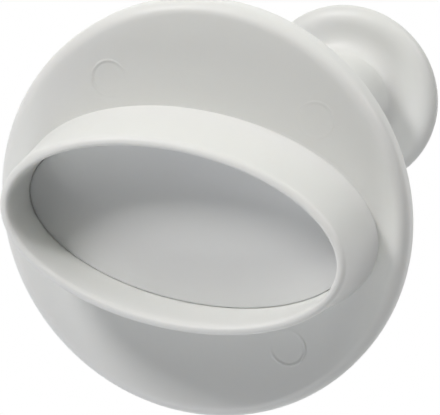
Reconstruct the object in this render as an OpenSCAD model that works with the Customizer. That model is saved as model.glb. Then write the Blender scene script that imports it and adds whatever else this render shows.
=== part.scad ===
// Oval plunger cutter for sugar paste: the cutting wall and flange are one
// moulding, and a sprung plate inside the wall pushes the cut shape out.
// The cutter stands on its cutting edge, with the knob up.

/* [Flange] */
// Outer diameter of the flange
flange_d = 60; // [56:0.5:66]
// Thickness of the flange's web
flange_t = 2.2; // [1.6:0.1:3]
// Radius of the flange's front edge
edge_r = 1.85; // [1.4:0.05:2.2]
// Height of the straight band round the flange
edge_side = 1.3; // [1:0.1:2]
// Width of the rim that stands back from the web
edge_rim_w = 2.2; // [2:0.1:3]
// Radius of the rim's two back edges
edge_back_r = 0.9; // [0.6:0.05:0.95]
// Fillet between the rim and the web
edge_fillet_r = 0.6; // [0.3:0.1:0.7]

/* [Cutting wall] */
// Length of the oval opening
oval_l = 47.6; // [40:0.1:48]
// Width of the oval opening
oval_w = 23.7; // [18:0.1:26]
// Height of the wall in front of the flange
wall_h = 12.2; // [10:0.1:15]
// Width of the flat land on which the lip stands
lip_land = 0.2; // [0.2:0.05:0.4]
// Width of the lip's rounding on its inner side
lip_in_w = 0.5; // [0.3:0.05:0.6]
// Height of the rounding on the lip's inner side
lip_in_h = 0.8; // [0.3:0.05:1]
// Width of the lip's rounding on its outer side
lip_out_w = 0.8; // [0.3:0.05:0.9]
// Height of the rounding on the lip's outer side
lip_out_h = 0.9; // [0.3:0.05:1]
// Growth of the wall from the lip to its root, at the oval's ends
root_grow_l = 0.8; // [0.4:0.05:1]
// Growth of the wall from the lip to its root, at the oval's sides
root_grow_w = 1.4; // [0.8:0.05:1.8]
// Fillet where the wall meets the flange
root_fillet_r = 0.15; // [0.1:0.05:0.5]

/* [Plunger plate] */
// Depth of the plate behind the cutting edge at rest
plate_depth = 8.4; // [7:0.1:8.8]
// Gap between the plate and the wall
plate_gap = 0.15; // [0.12:0.01:0.3]
// Thickness of the plate's face
plate_t = 1.6; // [1.2:0.1:2]
// Thickness of the skirt round the plate's back
skirt_t = 1.4; // [1:0.1:2]
// Thickness of the ribs on the plate's back
rib_t = 1.2; // [0.8:0.1:1.6]
// Diameter of the stem
stem_d = 7; // [6:0.1:7.6]
// Radial clearance of the stem in the flange
stem_clearance = 0.08; // [0.05:0.01:0.1]

/* [Guide tube] */
// Outer diameter of the tube behind the flange
guide_d = 13; // [12.6:0.1:13.2]
// Bore of the tube, where the spring lies
guide_bore = 10.8; // [10.6:0.1:11]
// Height of the tube above the flange
guide_h = 37; // [33:0.1:39]
// Fillet at the tube's root
guide_fillet_r = 2; // [1:0.1:3]

/* [Knob] */
// Outer diameter of the knob's rim
knob_d = 29.3; // [28.8:0.1:34]
// Height of the rim's centre above the flange's front face
knob_h = 71.4; // [70:0.1:76]
// Width of the rounding at the knob's rim
rim_w = 2.8; // [1.6:0.1:2.8]
// Thickness of the knob's rim
rim_t = 4; // [3:0.1:4.4]
// Thickness of the neck's wall at the flare's start
neck_t = 0.95; // [0.85:0.05:1.05]
// Thickness of the neck's wall at its open end
neck_end_t = 0.85; // [0.75:0.05:0.95]
// Width of the flare between the neck and the knob's flat underside
flare_w = 3.2; // [1:0.1:3.6]
// Height of the flare
flare_h = 2.1; // [1:0.1:5]
// Depth of the thumb dish in the knob's top
dish_depth = 1.8; // [0.5:0.1:3]
// Gap between the neck and the guide tube
neck_gap = 0.35; // [0.3:0.01:0.4]
// Depth of the socket that holds the stem
socket_depth = 8; // [6:0.5:9]
// Interference of the stem in the socket
socket_press = 0.02; // [0.01:0.01:0.03]

/* [Spring and travel] */
// Stroke of the plunger
travel = 8.5; // [6:0.1:9]
// Room left under the neck at full stroke
neck_room = 1.5; // [1:0.1:3]
// Height of the spring's upper seat above the flange
spring_h = 50; // [48:0.1:51]
// Wire diameter of the spring
wire_d = 0.8; // [0.6:0.05:1]
// Mean diameter of the spring's coils
coil_d = 9; // [8.8:0.05:9.2]
// Turns between the closed ends
coil_turns = 12; // [9:1:15]

/* [Hidden] */

$fn = 96;
OVAL_STEPS = 120;
ARC_STEPS = 6;
ROOT_STEPS = 3;
RIM_STEPS = 12;
FLARE_STEPS = 8;
DISH_STEPS = 14;
WIRE_SIDES = 8;
TURN_STEPS = 20;
OVERLAP = 0.4;
SINK = 0.2;

white = [0.93, 0.94, 0.93];
plate_white = [0.90, 0.91, 0.91];
steel = [0.72, 0.73, 0.74];

edge_chamfer = 0.3;
tube_lead = 0.5;
pocket_recess = 0.2;

flange_front_z = wall_h;
flange_back_z = wall_h + flange_t;
pocket_top_z = flange_front_z + pocket_recess;
seat_z = pocket_top_z + flange_t;
guide_top_z = flange_back_z + guide_h;
knob_rim_z = flange_front_z + knob_h;
spring_top_z = seat_z + spring_h;
neck_end_z = flange_back_z + travel + neck_room;
stem_top_z = spring_top_z + socket_depth;
plate_face_z = plate_depth;
rib_room = 0.4;
rib_spread = oval_l / 4;
coil_steps = (coil_turns + 2) * TURN_STEPS;
cavity_r = guide_d / 2 + neck_gap;
socket_r = stem_d / 2 - socket_press;

opening_a = oval_l / 2;
opening_b = oval_w / 2;
plate_a = opening_a - plate_gap;
plate_b = opening_b - plate_gap;

ejector_d = 5.1;
ejector_ring_w = 0.25;
ejector_sink = 0.06;
ejector_places = [[15.1, 16.6], [-15.1, 16.6], [-15.1, -16.6]];

// Points of an oval with half axes a and b, moved outwards by grow
function oval(a, b, grow = 0) = [
    for (i = [0 : OVAL_STEPS - 1])
        let (t = 360 * i / OVAL_STEPS, c = cos(t), s = sin(t), n = norm([b * c, a * s]))
            [a * c + grow * b * c / n, b * s + grow * a * s / n]
];

// The same oval as points in space at height z
function ring(a, b, grow, z) = [for (p = oval(a, b, grow)) [p.x, p.y, z]];

// Arc about a centre in the half plane of a profile, with its width and height as radii
function arc(centre, radii, from, to, steps = ARC_STEPS) = [
    for (i = [0 : steps])
        let (t = from + (to - from) * i / steps)
            [centre.x + radii.x * cos(t), centre.y + radii.y * sin(t)]
];

// Radii of a circular arc
function both(r) = [r, r];

// Closed skin over rings of equal length, capped or joined end to end
module skin(rings, joined = false) {
    n = len(rings[0]);
    m = len(rings);
    last = joined ? m - 1 : m - 2;
    sides = [
        for (j = [0 : last], i = [0 : n - 1])
            let (k = (i + 1) % n, up = (j + 1) % m)
                each [
                    [j * n + i, up * n + i, up * n + k],
                    [j * n + i, up * n + k, j * n + k]
                ]
    ];
    caps = joined ? [] : [
        [for (i = [0 : n - 1]) i],
        [for (i = [n - 1 : -1 : 0]) (m - 1) * n + i]
    ];
    polyhedron(points = [for (r = rings) each r], faces = concat(sides, caps));
}

// Oval wall: a rounded lip, steeper inside than outside, that thickens towards its root
module cutting_wall() {
    land_end = lip_in_w + lip_land;
    lip_t = land_end + lip_out_w;
    inner_edge = arc([lip_in_w, lip_in_h], [lip_in_w, lip_in_h], 180, 270);
    outer_edge = arc([land_end, lip_out_h], [lip_out_w, lip_out_h], -90, 0);
    lip = [for (p = concat(inner_edge, outer_edge)) ring(opening_a, opening_b, p.x, p.y)];
    root_a = opening_a + lip_t + root_grow_l;
    root_b = opening_b + lip_t + root_grow_w;
    fillet_centre = [root_fillet_r, wall_h - root_fillet_r];
    fillet = [
        for (p = arc(fillet_centre, both(root_fillet_r), 180, 90, ROOT_STEPS))
            ring(root_a, root_b, p.x, p.y)
    ];
    root = ring(root_a, root_b, root_fillet_r, wall_h + OVERLAP);
    inside = ring(opening_a, opening_b, 0, wall_h + OVERLAP);
    skin(concat(lip, fillet, [root, inside]), joined = true);
}

// Flange with its turned-back rim and the guide tube behind it, as one revolve
module flange_and_guide() {
    flange_r = flange_d / 2;
    rim_back_z = flange_front_z + edge_r + edge_side;
    rim_in_x = flange_r - edge_rim_w;
    rim = concat(
        arc([flange_r - edge_r, flange_front_z + edge_r], both(edge_r), -90, 0),
        arc([flange_r - edge_back_r, rim_back_z], both(edge_back_r), 0, 90),
        arc([rim_in_x + edge_back_r, rim_back_z], both(edge_back_r), 90, 180),
        arc([rim_in_x, flange_back_z] + edge_fillet_r * [-1, 1], both(edge_fillet_r), 0, -90)
    );
    fillet_centre = [guide_d, 2 * flange_back_z] / 2 + both(guide_fillet_r);
    fillet = arc(fillet_centre, both(guide_fillet_r), 270, 180);
    rotate_extrude()
        polygon(concat(
            [[0, flange_front_z]],
            rim,
            fillet,
            [[guide_d / 2, guide_top_z - tube_lead], [guide_d / 2 - edge_chamfer, guide_top_z]],
            [[guide_bore / 2 + edge_chamfer, guide_top_z]],
            [[guide_bore / 2, guide_top_z - edge_chamfer], [guide_bore / 2, seat_z]],
            [[0, seat_z]]));
}

// Shallow ring left by an ejector pin in the flange's front face
module ejector_mark() {
    rotate_extrude()
        translate([ejector_d / 2 - ejector_ring_w, flange_front_z - OVERLAP])
            square([ejector_ring_w, OVERLAP + ejector_sink]);
}

module cutter_body() {
    color(white)
    difference() {
        union() {
            cutting_wall();
            flange_and_guide();
        }
        translate([0, 0, flange_front_z - OVERLAP])
            linear_extrude(OVERLAP + pocket_recess)
                polygon(oval(opening_a, opening_b));
        cylinder(r = stem_d / 2 + stem_clearance, h = seat_z + OVERLAP);
        for (place = ejector_places)
            translate(place)
                ejector_mark();
    }
}

// Plate with a skirt and ribs on its back, and the stem that carries it
module plunger_plate() {
    color(plate_white) {
        difference() {
            translate([0, 0, plate_face_z])
                linear_extrude(pocket_top_z - plate_face_z)
                    polygon(oval(plate_a, plate_b));
            translate([0, 0, plate_face_z + plate_t])
                linear_extrude(pocket_top_z - plate_face_z)
                    polygon(oval(plate_a - skirt_t, plate_b - skirt_t));
        }
        translate([0, 0, plate_face_z + plate_t - SINK])
            plate_ribs(pocket_top_z - rib_room - plate_face_z - plate_t + SINK);
        translate([0, 0, plate_face_z + plate_t - SINK])
            cylinder(r = stem_d / 2, h = stem_top_z - plate_face_z - plate_t + SINK);
    }
}

// Cross of ribs between the stem and the skirt
module plate_ribs(height) {
    linear_extrude(height)
        intersection() {
            polygon(oval(plate_a - skirt_t / 2, plate_b - skirt_t / 2));
            union() {
                square([oval_l, rib_t], center = true);
                for (x = [-rib_spread, 0, rib_spread])
                    translate([x, 0])
                        square([rib_t, oval_w], center = true);
            }
        }
}

// Compression spring with closed ends, from the flange to the knob
module return_spring() {
    color(steel)
        skin([for (i = [0 : coil_steps]) wire_ring(i / coil_steps)]);
}

// One section of the spring's wire, at a share u of its whole length
function wire_ring(u) =
    let (
        t = u * (coil_turns + 2),
        rise = coil_rise(t),
        turn = 360 * t,
        out = [cos(turn), sin(turn), 0]
    )
    [
        for (k = [0 : WIRE_SIDES - 1])
            let (a = -360 * k / WIRE_SIDES)
                out * (coil_d / 2 + wire_d / 2 * cos(a)) + [0, 0, rise + wire_d / 2 * sin(a)]
    ];

// Height of the wire's centre after t turns: the first and last lie closed
function coil_rise(t) =
    let (
        low = seat_z + wire_d / 2,
        high = spring_top_z - wire_d / 2,
        pitch = (high - low - 2 * wire_d) / coil_turns
    )
    t < 1 ? low + t * wire_d
    : t > coil_turns + 1 ? high - (coil_turns + 2 - t) * wire_d
    : low + wire_d + (t - 1) * pitch;

// Knob: a neck that runs on the guide tube and flares into a dished top
module push_knob() {
    rim_radii = [rim_w, rim_t / 2];
    rim_centre = [knob_d / 2 - rim_radii.x, knob_rim_z];
    flare_foot = [cavity_r + neck_t + flare_w, knob_rim_z - rim_radii.y - flare_h];
    flare = arc(flare_foot, [flare_w, flare_h], 180, 90, FLARE_STEPS);
    rim = arc(rim_centre, rim_radii, -90, 90, RIM_STEPS);
    dish = [
        for (i = [1 : DISH_STEPS])
            let (x = rim_centre.x * (1 - i / DISH_STEPS))
                [x, rim_centre.y + rim_radii.y - dish_depth * (1 - pow(x / rim_centre.x, 2))]
    ];
    neck_end_r = cavity_r + neck_end_t;
    color(white)
    rotate_extrude()
        polygon(concat(
            [[cavity_r, neck_end_z], [neck_end_r - edge_chamfer, neck_end_z]],
            [[neck_end_r, neck_end_z + edge_chamfer]],
            flare, rim, dish,
            [[0, stem_top_z], [socket_r, stem_top_z], [socket_r, spring_top_z]],
            [[cavity_r, spring_top_z]]));
}

cutter_body();
plunger_plate();
return_spring();
push_knob();
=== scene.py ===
from math import cos, hypot, pi, radians, sin

import bmesh
import bpy
from mathutils import Matrix, Vector


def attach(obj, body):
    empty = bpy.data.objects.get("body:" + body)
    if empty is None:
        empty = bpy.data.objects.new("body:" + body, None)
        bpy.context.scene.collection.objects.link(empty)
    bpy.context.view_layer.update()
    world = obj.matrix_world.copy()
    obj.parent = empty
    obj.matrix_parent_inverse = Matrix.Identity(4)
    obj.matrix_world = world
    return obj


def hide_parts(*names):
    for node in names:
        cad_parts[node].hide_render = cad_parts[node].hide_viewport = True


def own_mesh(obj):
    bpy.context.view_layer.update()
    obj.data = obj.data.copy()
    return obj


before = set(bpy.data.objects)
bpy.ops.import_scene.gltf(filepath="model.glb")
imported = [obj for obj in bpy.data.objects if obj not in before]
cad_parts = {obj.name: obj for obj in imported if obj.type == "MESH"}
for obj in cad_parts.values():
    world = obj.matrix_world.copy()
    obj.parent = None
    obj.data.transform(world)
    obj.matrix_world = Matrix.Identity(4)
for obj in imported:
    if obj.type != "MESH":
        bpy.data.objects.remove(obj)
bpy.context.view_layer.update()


# White moulded plastic of the cutter body: one moulding in satin polypropylene
# with a fine grain, faint flow clouds and a gloss that varies with the clouds and orange peel.
class Value:
    """A number socket that takes part in sums and products as Math nodes."""

    def __init__(self, shader, socket):
        self.shader = shader
        self.socket = socket

    def math(self, operation, *others, swap=False):
        inputs = [self, *others]
        if swap:
            inputs.reverse()
        node = self.shader.node("ShaderNodeMath", {"operation": operation})
        for socket, value in zip(node.inputs, inputs):
            self.shader.feed(socket, value)
        return Value(self.shader, node.outputs["Value"])

    def __add__(self, other):
        return self.math("ADD", other)

    __radd__ = __add__

    def __mul__(self, other):
        return self.math("MULTIPLY", other)

    __rmul__ = __mul__

    def __sub__(self, other):
        return self.math("SUBTRACT", other)

    def __rsub__(self, other):
        return self.math("SUBTRACT", other, swap=True)

    def clamped(self):
        node = self.math("MULTIPLY", 1.0)
        node.socket.node.use_clamp = True
        return node


class Finish:
    """A material under construction: its tree and its one surface shader."""

    def __init__(self, name):
        self.material = bpy.data.materials.new(name)
        self.material.use_nodes = True
        self.tree = self.material.node_tree
        self.surface = self.tree.nodes["Principled BSDF"]
        self.place = self.node("ShaderNodeTexCoord").outputs["Object"]

    def node(self, kind, settings={}, **values):
        made = self.tree.nodes.new(kind)
        for name, value in settings.items():
            setattr(made, name, value)
        for name, value in values.items():
            self.feed(made.inputs[name.replace("_", " ")], value)
        return made

    def feed(self, socket, value):
        if isinstance(value, Value):
            value = value.socket
        if isinstance(value, bpy.types.NodeSocket):
            self.tree.links.new(value, socket)
        else:
            socket.default_value = value

    def noise(self, per_metre, detail=2.0, roughness=0.5):
        made = self.node(
            "ShaderNodeTexNoise",
            Vector=self.place, Scale=per_metre, Detail=detail, Roughness=roughness,
        )
        return Value(self, made.outputs["Fac"])

    def distance(self, point):
        made = self.node("ShaderNodeVectorMath", {"operation": "DISTANCE"})
        self.feed(made.inputs[0], self.place)
        made.inputs[1].default_value = point
        return Value(self, made.outputs["Value"])

    def ramp(self, value, low, high):
        made = self.node(
            "ShaderNodeMapRange", {"interpolation_type": "SMOOTHSTEP"},
            Value=value, From_Min=low, From_Max=high,
        )
        return Value(self, made.outputs["Result"])

    def blend(self, mask, first, second):
        made = self.node("ShaderNodeMix", {"data_type": "RGBA"})
        self.feed(made.inputs["Factor"], mask)
        self.feed(made.inputs[6], first)
        self.feed(made.inputs[7], second)
        return made.outputs[2]

    def relief(self, height, depth, strength):
        made = self.node("ShaderNodeBump", Height=height, Distance=depth, Strength=strength)
        self.feed(self.surface.inputs["Normal"], made.outputs["Normal"])


def moulded_plastic(name, colour, shade, gloss, marks=()):
    finish = Finish(name)
    clouds = finish.noise(per_metre=60.0, detail=3.0)
    grain = finish.noise(per_metre=5200.0, detail=1.5)
    orange_peel = finish.noise(per_metre=900.0, detail=2.0)
    surface = finish.surface.inputs
    finish.feed(surface["Base Color"], finish.blend(clouds, colour, shade))
    finish.feed(surface["Roughness"], gloss + 0.08 * clouds + 0.05 * orange_peel)
    surface["Subsurface Weight"].default_value = 0.35
    surface["Subsurface Radius"].default_value = (1.0, 0.95, 0.9)
    surface["Subsurface Scale"].default_value = 0.0016
    surface["Specular IOR Level"].default_value = 0.45
    height = 0.3 * grain + 0.2 * orange_peel
    for place, deep in marks:
        away = finish.distance([0.001 * v for v in place])
        outward = finish.ramp(finish.distance((0, 0, 0.001 * place[2])), 0.0205, 0.0245)
        sunk = finish.ramp(away, pin_r - 0.0004, pin_r)
        burr = sunk * finish.ramp(away, pin_r + 0.00028, pin_r)
        height = height + deep * (0.15 + 0.85 * outward) * (0.6 * sunk + 5.0 * burr)
    finish.relief(height, depth=0.00002, strength=1.0)
    return finish.material


def dress(node, material):
    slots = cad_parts[node].material_slots
    for slot in slots:
        slot.material = material


wall_h = 12.2
pin_r = 0.00255
pin_marks = [((15.1, 16.6, wall_h), 1.0), ((-15.1, 16.6, wall_h), 0.45), ((-15.1, -16.6, wall_h), 1.3)]
white = moulded_plastic(
    "body_plastic", (0.80, 0.81, 0.79, 1), (0.77, 0.78, 0.76, 1), 0.38, pin_marks,
)
dress("cutter_body", white)


# The body's mould surfaces are laid as closed rings from the lip outwards, over
# the wall, the flange's front, its rounded edge and back, the guide tube and
# its bore, and back through the stem's hole and the pocket to the lip.
ROUND = 360
opening = (23.8, 11.85)
flange_r = 30.0


def arc(centre, radii, start, end, steps):
    turns = (radians(start + (end - start) * i / steps) for i in range(steps + 1))
    return [(centre[0] + radii[0] * cos(t), centre[1] + radii[1] * sin(t)) for t in turns]


def circle(r, z):
    turns = (2 * pi * i / ROUND for i in range(ROUND))
    return [(r * cos(t), r * sin(t), z) for t in turns]


def oval(grow, z, extra=(0.0, 0.0)):
    a, b = opening[0] + extra[0], opening[1] + extra[1]
    ring = []
    for i in range(ROUND):
        c, s = cos(2 * pi * i / ROUND), sin(2 * pi * i / ROUND)
        n = hypot(b * c, a * s)
        ring.append((a * c + grow * b * c / n, b * s + grow * a * s / n, z))
    return ring


def between(first, second, share):
    return [
        tuple(p + (q - p) * share for p, q in zip(one, two))
        for one, two in zip(first, second)
    ]


def lathe(profile):
    return [circle(max(r, 0.0), z) for r, z in profile]


def moulding(name, rings, body, node, material, closed=True):
    mesh = bpy.data.meshes.new(name)
    shape = bmesh.new()
    loops = [[shape.verts.new([0.001 * v for v in p]) for p in ring] for ring in rings]
    pairs = list(zip(loops, loops[1:] + loops[:1]))
    for low, high in pairs if closed else pairs[:-1]:
        for i in range(len(low)):
            k = (i + 1) % len(low)
            shape.faces.new((low[i], low[k], high[k], high[i]))
    bmesh.ops.remove_doubles(shape, verts=shape.verts, dist=1e-7)
    bmesh.ops.recalc_face_normals(shape, faces=shape.faces)
    for face in shape.faces:
        face.smooth = True
    shape.to_mesh(mesh)
    shape.free()
    mesh.set_sharp_from_angle(angle=radians(32))
    piece = bpy.data.objects.new(name, mesh)
    bpy.context.collection.objects.link(piece)
    mesh.materials.append(material)
    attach(piece, body)
    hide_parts(node)
    return piece


crest, shoulder = 0.6, 0.9
end_round, side_round = (0.35, 0.4), (0.6, 1.2)
outer_drop, end_pull = 0.9, 0.25
root = (26.1, 14.76)
fillet = 0.1
edge_r, edge_side, rim_w = 1.85, 1.3, 2.2
back_z = wall_h + 2.2
seat_z = back_z + 0.2
guide_top = back_z + 37.0
spring_top = seat_z + 50.0
stem_top = spring_top + 8.0
lip_in = [
    [
        tuple(p + (q - p) * sin(2 * pi * i / ROUND) ** 2 for p, q in zip(one, two))
        for i, (one, two) in enumerate(zip(oval(*at_end), oval(*at_side)))
    ]
    for at_end, at_side in zip(
        arc(end_round, end_round, 180, 270, 12), arc(side_round, side_round, 180, 270, 12)
    )
]
lip_out = [
    oval(g, z, (-end_pull, 0))
    for g, z in arc((crest, outer_drop), (shoulder, outer_drop), 275, 355, 12)
]
lip = crest + shoulder
reach = (opening[0] + lip, opening[1] + lip)
grow = (root[0] - reach[0], root[1] - reach[1])
drop = wall_h - fillet - outer_drop
side = [
    oval(lip, outer_drop + drop * u, (grow[0] * u - end_pull * (1 - u), grow[1] * u))
    for u in (0.03, 0.1, 0.25, 0.4, 0.55, 0.7, 0.85, 0.95, 0.99, 1.0)
]
fold = [
    oval(lip + g, z, grow)
    for g, z in arc((fillet, wall_h - fillet), (fillet, fillet), 180, 90, 5)
][1:]
rim_back = wall_h + edge_r + edge_side
rim_in = flange_r - rim_w
rim = lathe(
    arc((flange_r - edge_r, wall_h + edge_r), (edge_r, edge_r), 270, 360, 20)
    + arc((flange_r - 0.9, rim_back), (0.9, 0.9), 0, 90, 10)
    + arc((rim_in + 0.9, rim_back), (0.9, 0.9), 90, 180, 10)
    + arc((rim_in - 0.6, back_z + 0.6), (0.6, 0.6), 0, -90, 6)
)
face = [between(fold[-1], rim[0], u) for u in (0.03, 0.2, 0.5, 0.8, 0.97)]
guide = lathe(
    [(rim_in - 1.2, back_z), (8.9, back_z)]
    + arc((8.5, back_z + 2), (2, 2), 270, 180, 8)
    + [(6.5, back_z + 2.5), (6.5, guide_top - 0.5), (6.45, guide_top - 0.3)]
    + [(6.2, guide_top), (5.7, guide_top), (5.45, guide_top - 0.1), (5.4, guide_top - 0.3)]
    + [(5.4, seat_z + 0.1), (5.4, seat_z), (5.3, seat_z)]
    + [(3.68, seat_z), (3.58, seat_z), (3.58, seat_z - 0.1)]
    + [(3.58, wall_h + 0.3), (3.58, wall_h + 0.2), (3.68, wall_h + 0.2)]
)
ceiling = oval(0, wall_h + 0.2)
roof = [between(guide[-1], ceiling, u) for u in (0.5, 0.98, 1.0)]
inside = [oval(0, z) for z in (wall_h + 0.1, wall_h - 2, 7.0, 4.0, 2.0, 1.6)]
moulding(
    "cutter_moulding",
    lip_in + lip_out + side + fold + face + rim + guide + roof + inside,
    "body", "cutter_body", white,
)

# The plunger plate is a second moulding in the same plastic, on the lower end
# of the stem that runs through the flange. Its colour is painted a shade greyer
# and cooler than the body's, as painted shade of the pocket it sits in.
plate_painted_shade_white = moulded_plastic("plate_plastic", (0.77, 0.78, 0.78, 1), (0.74, 0.75, 0.75, 1), 0.42)
dress("plunger_plate", plate_painted_shade_white)
plate_z = 8.4
plate_gap = 0.07
soft_edge = 0.10
plate_edge = [
    oval(g - plate_gap - soft_edge, z)
    for g, z in arc((0, plate_z + soft_edge), (soft_edge, soft_edge), 270, 360, 4)
]
plate_middle = [between([(0, 0, plate_z)] * ROUND, plate_edge[0], u) for u in (0.0, 0.5, 0.98)]
plate_back = [oval(-plate_gap, z) for z in (plate_z + 0.3, wall_h)]
skirt = [oval(-plate_gap - 1.4, z) for z in (wall_h, wall_h - 0.1, plate_z + 1.6)]
stem = lathe(
    [(3.5, plate_z + 1.6), (3.5, plate_z + 1.8), (3.5, stem_top - 0.2)]
    + [(3.3, stem_top), (0, stem_top)]
)
moulding(
    "plate_moulding",
    plate_middle + plate_edge + plate_back + skirt + stem,
    "plunger", "plunger_plate", plate_painted_shade_white, closed=False,
)

# The knob is moulded in the same plastic as the body and pressed on the stem.
knob_plastic = moulded_plastic("knob_plastic", (0.80, 0.81, 0.79, 1), (0.77, 0.78, 0.76, 1), 0.36)
dress("push_knob", knob_plastic)
knob_z = wall_h + 71.4
knob_r = 14.65
rim_round = (2.8, 2.0)
neck_r = 7.8
flare = (3.2, 2.1)
under_z = knob_z - rim_round[1]
under_x = knob_r - rim_round[0]
neck_end = back_z + 10.0
dish = 1.8
knob_profile = (
    [(6.85, neck_end + 0.1), (6.85, neck_end), (7.4, neck_end), (7.65, neck_end + 0.1)]
    + [(7.7, neck_end + 0.3), (neck_r, under_z - flare[1] - 0.6)]
    + arc((neck_r + flare[0], under_z - flare[1]), flare, 180, 90, 20)
    + arc((under_x, knob_z), rim_round, 270, 450, 36)
    + [
        (under_x * u, knob_z + rim_round[1] - dish * (1 - u * u))
        for u in (0.97, 0.9, 0.75, 0.6, 0.4, 0.2, 0.05, 0.0)
    ]
)
spring_seat = spring_top + 0.03
knob_inside = [
    (0, stem_top + 0.05), (3.48, stem_top + 0.05), (3.48, spring_seat + 0.1),
    (3.6, spring_seat), (6.8, spring_seat), (6.85, spring_seat - 0.1),
]
moulding(
    "knob_moulding", lathe(knob_profile + knob_inside),
    "plunger", "push_knob", knob_plastic,
)

# The return spring is bright drawn stainless wire, loose in the guide tube. Its
# end turns lie closed on their seats. The real spring shortens when the knob is pushed; this coil is
# built at rest.
spring_wire = Finish("spring_wire")
drawing_marks = spring_wire.noise(per_metre=2400.0, detail=3.0)
spring_wire.surface.inputs["Metallic"].default_value = 1.0
spring_wire.feed(
    spring_wire.surface.inputs["Base Color"],
    spring_wire.blend(drawing_marks, (0.62, 0.62, 0.63, 1), (0.50, 0.50, 0.51, 1)),
)
spring_wire.feed(spring_wire.surface.inputs["Roughness"], 0.22 + 0.15 * drawing_marks)
spring_wire.relief(drawing_marks, depth=0.00001, strength=0.4)
dress("return_spring", spring_wire.material)
wire_r, coil_r, open_turns = 0.4, 4.5, 12
coil_low, coil_high = seat_z + wire_r, spring_top - wire_r
pitch = (coil_high - coil_low - 4 * wire_r) / open_turns


def wire_section(turn, r):
    if turn < 1:
        rise = coil_low + 2 * wire_r * turn
    elif turn > open_turns + 1:
        rise = coil_high - 2 * wire_r * (open_turns + 2 - turn)
    else:
        rise = coil_low + 2 * wire_r + pitch * (turn - 1)
    c, s = cos(2 * pi * turn), sin(2 * pi * turn)
    section = arc((coil_r, rise), (r, r), 0, 330, 11)
    return [(x * c, x * s, z) for x, z in section]


turns = [i / 32 for i in range(32 * (open_turns + 2) + 1)]
coil = moulding(
    "spring_coil",
    [wire_section(0, 0)] + [wire_section(turn, wire_r) for turn in turns]
    + [wire_section(open_turns + 2, 0)],
    "body", "return_spring", spring_wire.material, closed=False,
)
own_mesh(coil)

# Floor: a plain pale sheet under the cutting edge. The photograph looks at the
# cutter from below that sheet, so the sheet shows its upper side only.
floor_half = 1.5
bpy.ops.mesh.primitive_plane_add(size=2 * floor_half)
floor = bpy.context.object
floor.name = "floor"
paper = Finish("floor_paper")
paper.surface.inputs["Base Color"].default_value = (0.82, 0.82, 0.81, 1)
paper.surface.inputs["Roughness"].default_value = 0.8
underside = paper.node("ShaderNodeNewGeometry").outputs["Backfacing"]
one_way = paper.node("ShaderNodeMixShader")
paper.feed(one_way.inputs[0], underside)
paper.feed(one_way.inputs[1], paper.surface.outputs["BSDF"])
paper.feed(one_way.inputs[2], paper.node("ShaderNodeBsdfTransparent").outputs["BSDF"])
paper.feed(paper.tree.nodes["Material Output"].inputs["Surface"], one_way.outputs[0])
floor.data.materials.append(paper.material)
floor.visible_diffuse = False
floor.visible_glossy = False
floor.visible_shadow = False
floor.visible_transmission = False

# Camera: where the photograph's outlines put it, about 0.46 m from the cutter,
# looking up at the cutting edge with the knob behind.
camera_place = Vector((-0.13545, 0.14719, -0.42121))
image_right = Vector((-0.93973, 0.10935, 0.32395))
image_up = Vector((0.19871, 0.94571, 0.25719))
camera_back = image_right.cross(image_up).normalized()
camera_data = bpy.data.cameras.new("camera")
camera_data.sensor_width = 36.0
camera_data.lens = 281.6
camera = bpy.data.objects.new("camera", camera_data)
turn = Matrix((image_right, image_up, camera_back)).transposed().to_4x4()
camera.matrix_world = Matrix.Translation(camera_place) @ turn
bpy.context.collection.objects.link(camera)
bpy.context.scene.camera = camera

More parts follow.
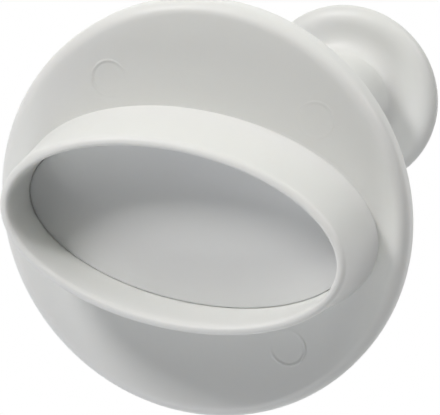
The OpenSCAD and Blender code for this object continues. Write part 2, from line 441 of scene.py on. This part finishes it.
# Light: the white cove behind the cutter is what the camera sees, and it fades
# out towards the camera's side. Soft boxes ring the cutter: the key is high on
# the left, weak wide ones below light the lip's lower side and the flange.
cove = bpy.data.worlds.new("cove")
cove.use_nodes = True
sky = cove.node_tree
way = sky.nodes.new("ShaderNodeVectorMath")
way.operation = "DOT_PRODUCT"
sky.links.new(sky.nodes.new("ShaderNodeTexCoord").outputs["Generated"], way.inputs[0])
way.inputs[1].default_value = -camera_back
fade = sky.nodes.new("ShaderNodeMapRange")
fade.interpolation_type = "SMOOTHSTEP"
fade.inputs["From Min"].default_value = -0.2
fade.inputs["From Max"].default_value = 0.8
sky.links.new(way.outputs["Value"], fade.inputs["Value"])
sky.links.new(fade.outputs["Result"], sky.nodes["Background"].inputs["Strength"])
sky.nodes["Background"].inputs["Color"].default_value = (1, 1, 1, 1)
bpy.context.scene.world = cove
bpy.context.scene.view_settings.view_transform = "Standard"
subject = Vector((0, 0, 0.03))


def soft_light(name, direction, size, power, colour):
    across, upwards, back = direction
    towards = image_right * across + image_up * upwards + camera_back * back
    data = bpy.data.lights.new(name, "AREA")
    data.shape = "DISK"
    data.size = size
    data.energy = power
    data.color = colour
    light = bpy.data.objects.new(name, data)
    light.location = subject + towards.normalized() * 0.8
    light.rotation_mode = "QUATERNION"
    light.rotation_quaternion = towards.to_track_quat("Z", "Y")
    bpy.context.collection.objects.link(light)


soft_light("front_low", (-0.27, -0.44, 0.85), 0.36, 0.31, (0.96, 0.96, 1.00))
soft_light("low_front", (0.02, -0.76, 0.65), 0.36, 0.39, (1.00, 1.00, 0.96))
soft_light("right", (0.82, -0.06, 0.56), 0.36, 0.22, (0.86, 0.85, 1.00))
soft_light("low_left", (-0.67, -0.53, 0.52), 0.36, 0.32, (0.91, 0.91, 1.00))
soft_light("low_middle", (-0.31, -0.90, 0.31), 0.36, 1.70, (0.99, 1.00, 0.98))
soft_light("high_back", (0.48, 0.87, 0.15), 0.36, 0.60, (0.89, 1.00, 0.79))
soft_light("high_front", (-0.24, 0.66, 0.72), 0.20, 0.51, (1.00, 0.96, 0.90))
soft_light("key", (-0.58, 0.60, 0.55), 0.20, 3.85, (1.00, 0.98, 0.98))
soft_light("front_high", (-0.00, 0.56, 0.83), 0.20, 0.39, (0.99, 1.00, 0.87))
soft_light("high", (0.24, 0.80, 0.54), 0.20, 0.33, (1.00, 0.97, 1.00))
soft_light("high_right", (0.74, 0.50, 0.45), 0.20, 1.90, (1.00, 0.97, 1.00))
soft_light("low_side", (-0.62, -0.78, 0.04), 0.20, 0.52, (0.77, 0.75, 1.00))
